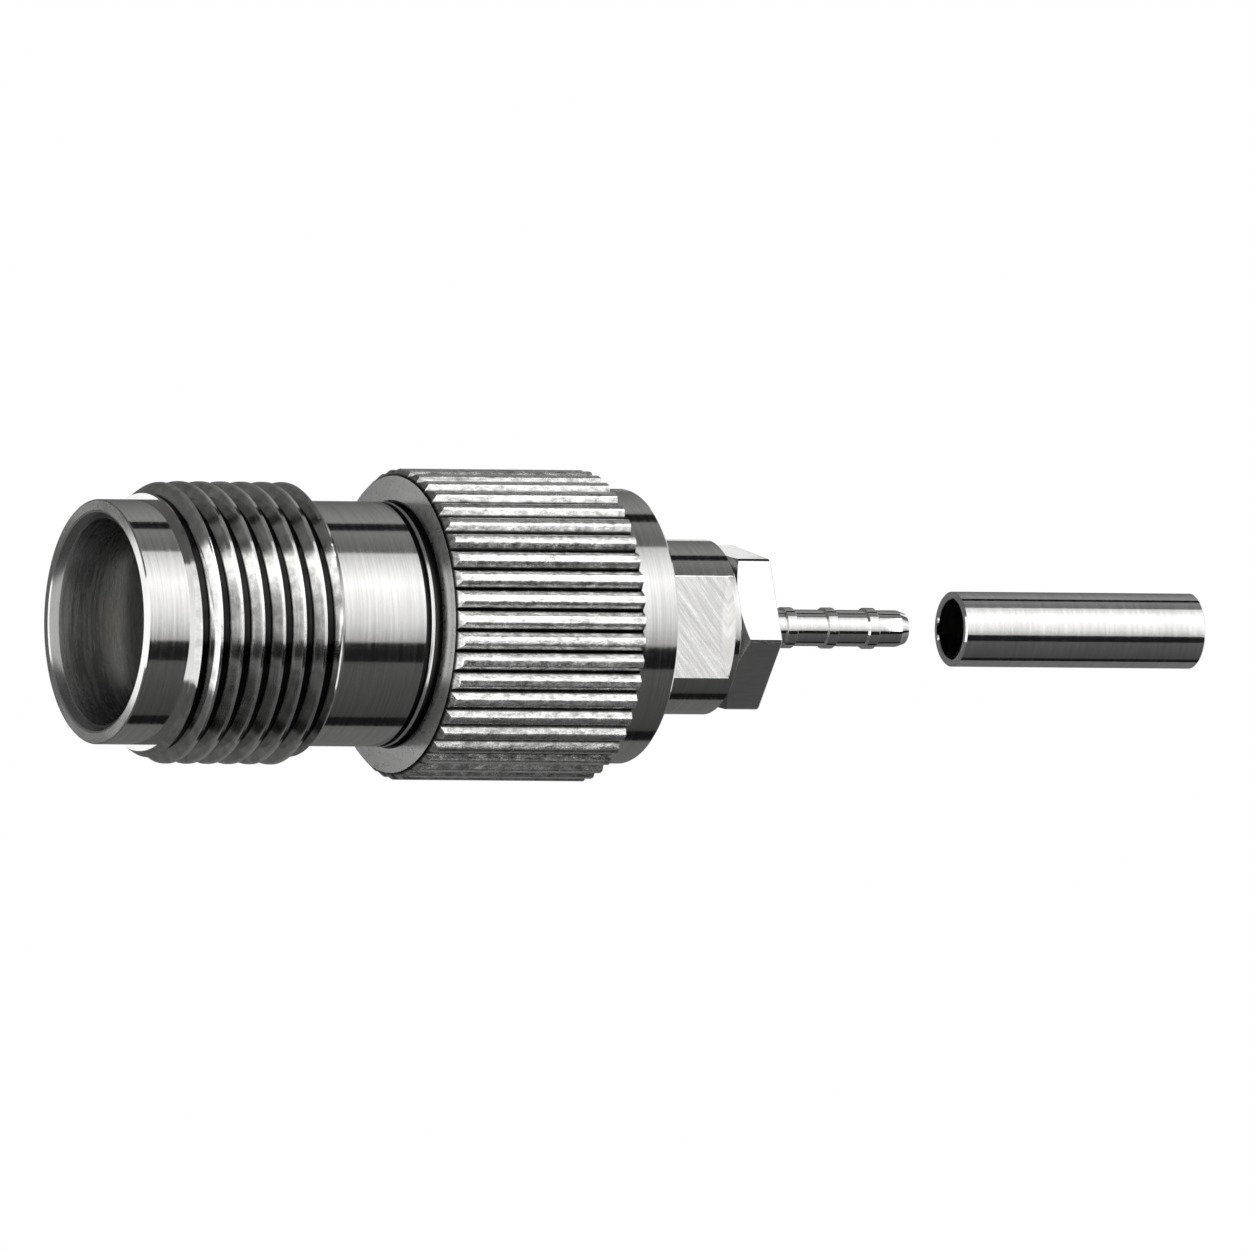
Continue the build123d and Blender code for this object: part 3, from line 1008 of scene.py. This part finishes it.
# %% The cards
card_radius = 0.3
left_end = -0.57
photo_side = (0.075, 0.24)
narrow_side = (0.095, 0.19)
left_side = (left_end, 0.075)
right_side = (0.24, 0.6)
cards = [
    # from, to in degrees above the front, glow at each, reach along X
    (-180, -112, 0.15, 0.15, photo_side),
    (-112, -98, 0.01, 0.01, photo_side),
    (-98, -36, 0.06, 0.1, photo_side),
    (-36, -17, 0.01, 0.015, photo_side),
    (-17, 0, 0.42, 0.82, narrow_side),
    (0, 38, 0.82, 1.35, narrow_side),
    (38, 70, 1.35, 0.68, narrow_side),
    (-17, 70, 3.2, 3.2, (0.075, 0.095)),
    (-17, 70, 3.2, 3.2, (0.19, 0.24)),
    (70, 98, 0.15, 0.24, photo_side),
    (98, 109, 0.01, 0.01, photo_side),
    (109, 158, 0.3, 0.14, photo_side),
    (158, 174, 0.14, 0.14, (0.075, 0.1425)),
    (158, 174, 0.95, 0.95, (0.1425, 0.1485)),
    (158, 174, 0.14, 0.14, (0.1485, 0.24)),
    (174, 180, 0.15, 0.15, photo_side),
]
cards += [
    (-56, 56, 1.3, 1.3, left_side),
    (56, 176.5, 0.13, 0.13, left_side),
    (176.5, 183.5, 1.3, 1.3, (left_end, -0.15)),
    (176.5, 183.5, 0.13, 0.13, (-0.15, 0.075)),
    (183.5, 304, 0.13, 0.13, left_side),
    (-180, -140, 0.5, 0.3, right_side),
    (-140, -60, 0.14, 0.18, right_side),
    (-60, -36, 0.24, 0.24, right_side),
    (-36, -17, 0.01, 0.015, right_side),
    (-17, 0, 0.38, 0.74, right_side),
    (0, 38, 0.74, 1.2, right_side),
    (38, 75, 1.2, 0.6, right_side),
    (75, 100, 0.2, 0.16, right_side),
    (100, 112, 0.02, 0.02, right_side),
    (112, 150, 0.8, 1.1, right_side),
    (150, 180, 1.1, 0.5, right_side),
]
end_card_glow = 1.4
card_step = 4


def card_point(x, turn):
    """Point of the tent at this place along X and this angle in radians."""
    return (x, -card_radius * math.cos(turn), axis_at + card_radius * math.sin(turn))


def card_tent():
    """All cards as one mesh, with their glow stored on its points."""
    points, faces, glows = [], [], []
    for start, end, glow_start, glow_end, (left, right) in cards:
        steps = max(1, round((end - start) / card_step))
        first = len(points)
        for i in range(steps + 1):
            share = i / steps
            turn = math.radians(start + (end - start) * share)
            glow = glow_start + (glow_end - glow_start) * share
            for x in (left, right):
                points.append(card_point(x, turn))
                glows.append(glow)
        for i in range(steps):
            corner = first + 2 * i
            faces.append((corner, corner + 1, corner + 3, corner + 2))
    # One more card closes the tent on the mouth's side
    first = len(points)
    for turn in np.radians(even_angles(48)):
        points.append(card_point(left_end, turn))
        glows.append(end_card_glow)
    faces.append(tuple(range(first, len(points))))
    mesh = bpy.data.meshes.new("card_tent")
    mesh.from_pydata(points, [], faces)
    mesh.attributes.new("glow", "FLOAT", "POINT").data.foreach_set("value", glows)
    return mesh


def card_material():
    """Light of the strength stored on the mesh."""
    material, tree, _ = new_material("card_light")
    tree.nodes.clear()
    glow = add_node(tree, "ShaderNodeAttribute", attribute_name="glow")
    light = add_node(tree, "ShaderNodeEmission", {"Strength": glow.outputs["Fac"]})
    result = add_node(tree, "ShaderNodeOutputMaterial")
    tree.links.new(light.outputs["Emission"], result.inputs["Surface"])
    return material


tent = new_object("card_tent", card_tent(), card_material())
tent.visible_camera = False
tent.visible_diffuse = False
tent.visible_shadow = False
print("cards:", len(cards))

# %% The floor and the world
floor_half = 1.5
shadow_near = 0.03
shadow_far = 0.12
sky_light = 0.55
floor_mesh = bpy.data.meshes.new("floor")
floor_corners = [(-floor_half, -floor_half, 0), (floor_half, -floor_half, 0),
                 (floor_half, floor_half, 0), (-floor_half, floor_half, 0)]
floor_mesh.from_pydata(floor_corners, [], [(0, 1, 2, 3)])


def background_share(tree):
    """1 for rays that should see a plain white background, 0 for those that light the object."""
    ray = add_node(tree, "ShaderNodeLightPath")
    seen = sum_of(tree, "ADD", ray.outputs["Is Camera Ray"], ray.outputs["Is Glossy Ray"])
    return sum_of(tree, "ADD", seen, ray.outputs["Is Transmission Ray"], clamp=True)


def floor_material():
    """Matt white board, mostly white by itself for the camera, so that only the shadow shows."""
    material, tree, shader = new_material("white_board")
    shader.inputs["Base Color"].default_value = (0.8, 0.8, 0.8, 1)
    shader.inputs["Roughness"].default_value = 1.0
    shader.inputs["Specular IOR Level"].default_value = 0.0
    white = add_node(tree, "ShaderNodeEmission", {"Strength": 1.0})
    where = add_node(tree, "ShaderNodeTexCoord")
    away = add_node(tree, "ShaderNodeVectorMath", {"Vector": where.outputs["Object"]},
                    operation="LENGTH")
    plain = add_node(tree, "ShaderNodeMapRange", {"Value": away.outputs["Value"],
                                                  "From Min": shadow_near, "From Max": shadow_far,
                                                  "To Min": 0.75, "To Max": 1.0})
    share = sum_of(tree, "MULTIPLY", background_share(tree), plain.outputs["Result"])
    mix = add_node(tree, "ShaderNodeMixShader", {"Fac": share})
    tree.links.new(shader.outputs["BSDF"], mix.inputs[1])
    tree.links.new(white.outputs["Emission"], mix.inputs[2])
    tree.links.new(mix.outputs["Shader"], tree.nodes["Material Output"].inputs["Surface"])
    return material


floor = new_object("floor", floor_mesh, floor_material())
floor.visible_glossy = False

world = bpy.data.worlds.new("white_studio")
bpy.context.scene.world = world
world.use_nodes = True
world_tree = world.node_tree
sky = world_tree.nodes["Background"]
seen_share = background_share(world_tree)
sky_strength = sum_of(world_tree, "MULTIPLY_ADD", seen_share, 1 - sky_light, sky_light)
world_tree.links.new(sky_strength, sky.inputs["Strength"])
sky.inputs["Color"].default_value = (1, 1, 1, 1)


# %% The lamps
def soft_lamp(name, place, size, power):
    """Square soft lamp aimed at the object, seen in no reflection."""
    data = bpy.data.lights.new(name, "AREA")
    data.shape = "SQUARE"
    data.size = size
    data.energy = power
    lamp = bpy.data.objects.new(name, data)
    bpy.context.scene.collection.objects.link(lamp)
    lamp.location = place
    lamp.rotation_mode = "QUATERNION"
    lamp.rotation_quaternion = (Vector((0, 0, axis_at)) - Vector(place)).to_track_quat("-Z", "Y")
    lamp.visible_glossy = False


soft_lamp("front_lamp", (-0.25, -0.45, 0.5), 0.4, 5.0)
soft_lamp("back_lamp", (0.3, 0.35, 0.6), 0.5, 4.0)

# %% [markdown]
# ## The camera
#
# The picture is taken from the mouth's side, square to a line 25.5 degrees off the axis and level
# with the axis. The angle follows from the mouth's ellipse, and the width of the picture from the
# known thread. The photograph shows no perspective, so the camera is orthographic: its rays run
# parallel, and only the width of the picture counts. It is turned by half a degree, as in the
# photograph.

# %% The camera
view_angle = math.radians(25.5)
picture_roll = math.radians(0.5)
picture_rise = 0.05
photo_pixels = 1250
pixels_a_mm = 25.45
picture_width = photo_pixels / pixels_a_mm * MM
middle_before_origin = 0.78
camera_distance = 0.82
target = Vector((-middle_before_origin * MM, 0, axis_at + picture_rise * MM))
looking = Vector((math.sin(view_angle), math.cos(view_angle), 0))
camera_data = bpy.data.cameras.new("camera")
camera_data.type = "ORTHO"
camera_data.ortho_scale = picture_width
camera_data.clip_start = 0.01
camera_data.clip_end = 100
camera = bpy.data.objects.new("camera", camera_data)
bpy.context.scene.collection.objects.link(camera)
camera.location = target - looking * camera_distance
camera.rotation_mode = "QUATERNION"
roll = Matrix.Rotation(picture_roll, 4, "Z").to_quaternion()
camera.rotation_quaternion = looking.to_track_quat("-Z", "Y") @ roll
bpy.context.scene.camera = camera
bpy.context.scene.view_settings.view_transform = "Standard"
print("picture width in mm", round(picture_width / MM, 2))
